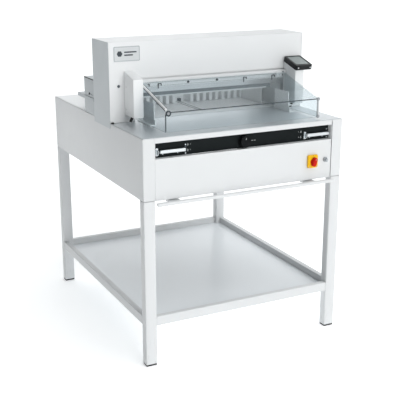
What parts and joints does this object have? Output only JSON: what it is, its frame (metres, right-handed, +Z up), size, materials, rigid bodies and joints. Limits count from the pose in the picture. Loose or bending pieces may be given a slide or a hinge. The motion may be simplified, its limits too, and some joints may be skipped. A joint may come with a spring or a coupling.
{
  "type": "guillotine paper cutter",
  "caption": "Electric guillotine paper cutter on a square-tube stand with a shelf: portal head with knife and clamp, clear hinged guard, moving back gauge and a front control panel.",
  "frame": {"origin": "on the floor, under the middle of the machine's bounding box", "axes": "+Z up, +X to the operator's right, -Y towards the operator"},
  "size_m": [0.94, 1.1692, 1.304],
  "materials": {
    "white_enamel": "satin light grey-white powder coat",
    "shelf_enamel": "smooth pale blue-grey enamel",
    "black_panel": "matt black fine texture coat",
    "polished_steel": "ground and polished, faint grain",
    "machined_steel": "turned and milled steel, lightly oiled",
    "cast_iron": "grey primed casting",
    "brushed_alloy": "satin anodised alloy",
    "clear_guard": "clear polycarbonate, polished edges",
    "black_plastic": "fine moulded grain",
    "display_glass": "grey-green display window",
    "yellow_plastic": "moulded yellow",
    "red_plastic": "moulded red",
    "stick_plastic": "square plastic bar, scored by the knife",
    "rubber": "black rubber",
    "motor_paint": "dark grey machine enamel",
    "frame_enamel": "mid grey machine enamel"
  },
  "bodies": {
    "root": {"leg_front_left": "white_enamel", "foot_front_left": "rubber", "leg_front_right": "white_enamel", "foot_front_right": "rubber", "leg_rear_left": "white_enamel", "foot_rear_left": "rubber", "leg_rear_right": "white_enamel", "foot_rear_right": "rubber", "shelf_frame": "white_enamel", "shelf_tray": "shelf_enamel", "side_cover_left": "white_enamel", "side_cover_right": "white_enamel", "front_panel": "white_enamel", "control_panel": "black_panel", "rear_panel": "white_enamel", "machine_bed": "cast_iron", "front_table": "polished_steel", "rear_table": "white_enamel", "cutting_stick": "stick_plastic", "side_frame_left": "frame_enamel", "side_frame_right": "frame_enamel", "cross_head": "cast_iron", "head_front_cover": "white_enamel", "head_rear_cover": "white_enamel", "head_end_cover_left": "white_enamel", "head_end_cover_right": "white_enamel", "rear_corner_cover_left": "white_enamel", "rear_corner_cover_right": "white_enamel", "cheek_cover_left": "white_enamel", "cheek_cover_right": "white_enamel", "display_housing": "black_plastic", "display_screen": "display_glass", "knife_gearmotor": "motor_paint", "clamp_motor": "motor_paint", "gauge_motor": "motor_paint", "rear_lay_left": "white_enamel", "rear_lay_right": "white_enamel", "front_lay_left": "white_enamel", "front_lay_right": "white_enamel", "switch_base": "yellow_plastic", "key_lock": "polished_steel", "control_box": "motor_paint", "mains_inlet": "black_plastic"},
    "knife": {"knife_carrier": "brushed_alloy", "knife_blade": "polished_steel", "knife_link": "machined_steel"},
    "crank": {"crank_disc": "machined_steel"},
    "clamp": {"clamp_beam": "frame_enamel"},
    "clamp_screw": {"clamp_spindle": "machined_steel"},
    "gauge": {"back_gauge": "brushed_alloy"},
    "gauge_screw": {"gauge_spindle": "polished_steel"},
    "guard": {"guard_hood": "clear_guard", "guard_tube": "white_enamel", "guard_edge_bar": "brushed_alloy"},
    "wheel": {"hand_wheel": "black_plastic"},
    "left_cut_bar": {"cut_bar_left": "brushed_alloy"},
    "right_cut_bar": {"cut_bar_right": "brushed_alloy"},
    "main_switch": {"switch_knob": "red_plastic"},
    "lock_key": {"key": "polished_steel"},
    "pre_clamp_bar": {"press_bar": "white_enamel"}
  },
  "joints": [
    {"name": "knife_stroke", "type": "slide", "parent": "root", "child": "knife", "axis": [0, 0, -1], "range_m": [0, 0.11]},
    {"name": "crank_turn", "type": "hinge", "parent": "root", "child": "crank", "pos_m": [-0.4475, -0.195, 0.84], "axis": [1, 0, 0], "range_deg": [0, 180]},
    {"name": "clamp_travel", "type": "slide", "parent": "root", "child": "clamp", "axis": [0, 0, -1], "range_m": [0, 0.0885]},
    {"name": "clamp_screw_turn", "type": "hinge", "parent": "root", "child": "clamp_screw", "pos_m": [0.01, -0.135, 1.1], "axis": [0, 0, 1], "continuous": true},
    {"name": "gauge_travel", "type": "slide", "parent": "root", "child": "gauge", "axis": [0, 1, 0], "range_m": [-0.237, 0.343]},
    {"name": "gauge_screw_turn", "type": "hinge", "parent": "root", "child": "gauge_screw", "pos_m": [0.01, 0.1, 0.895], "axis": [0, 1, 0], "continuous": true},
    {"name": "guard_swing", "type": "hinge", "parent": "root", "child": "guard", "pos_m": [0.01, -0.225, 1.136], "axis": [-1, 0, 0], "range_deg": [0, 70]},
    {"name": "hand_wheel_turn", "type": "hinge", "parent": "root", "child": "wheel", "pos_m": [-0.006, -0.539, 0.912], "axis": [0, -1, 0], "range_deg": [-60, 60], "stiffness_Nm_per_rad": 0.05},
    {"name": "cut_bar_left_press", "type": "slide", "parent": "root", "child": "left_cut_bar", "axis": [0, 0, -1], "range_m": [0, 0.004], "stiffness_N_per_m": 600, "springref_m": -0.003},
    {"name": "cut_bar_right_press", "type": "slide", "parent": "root", "child": "right_cut_bar", "axis": [0, 0, -1], "range_m": [0, 0.004], "stiffness_N_per_m": 600, "springref_m": -0.003},
    {"name": "main_switch_turn", "type": "hinge", "parent": "root", "child": "main_switch", "pos_m": [0.316, -0.574, 0.796], "axis": [0, -1, 0], "range_deg": [0, 90]},
    {"name": "key_turn", "type": "hinge", "parent": "root", "child": "lock_key", "pos_m": [0.384, -0.564, 0.796], "axis": [0, -1, 0], "range_deg": [0, 90]},
    {"name": "press_bar_dip", "type": "hinge", "parent": "root", "child": "pre_clamp_bar", "pos_m": [0, -0.524, 0.7042], "axis": [1, 0, 0], "range_deg": [0, 8], "stiffness_Nm_per_rad": 25, "springref_deg": -6.88}
  ],
  "couplings": [
    {"joint": "crank_turn", "follows": "knife_stroke", "rad_per_m": 28.55},
    {"joint": "clamp_screw_turn", "follows": "clamp_travel", "rad_per_m": 1256.6},
    {"joint": "gauge_screw_turn", "follows": "gauge_travel", "rad_per_m": 785.4}
  ]
}
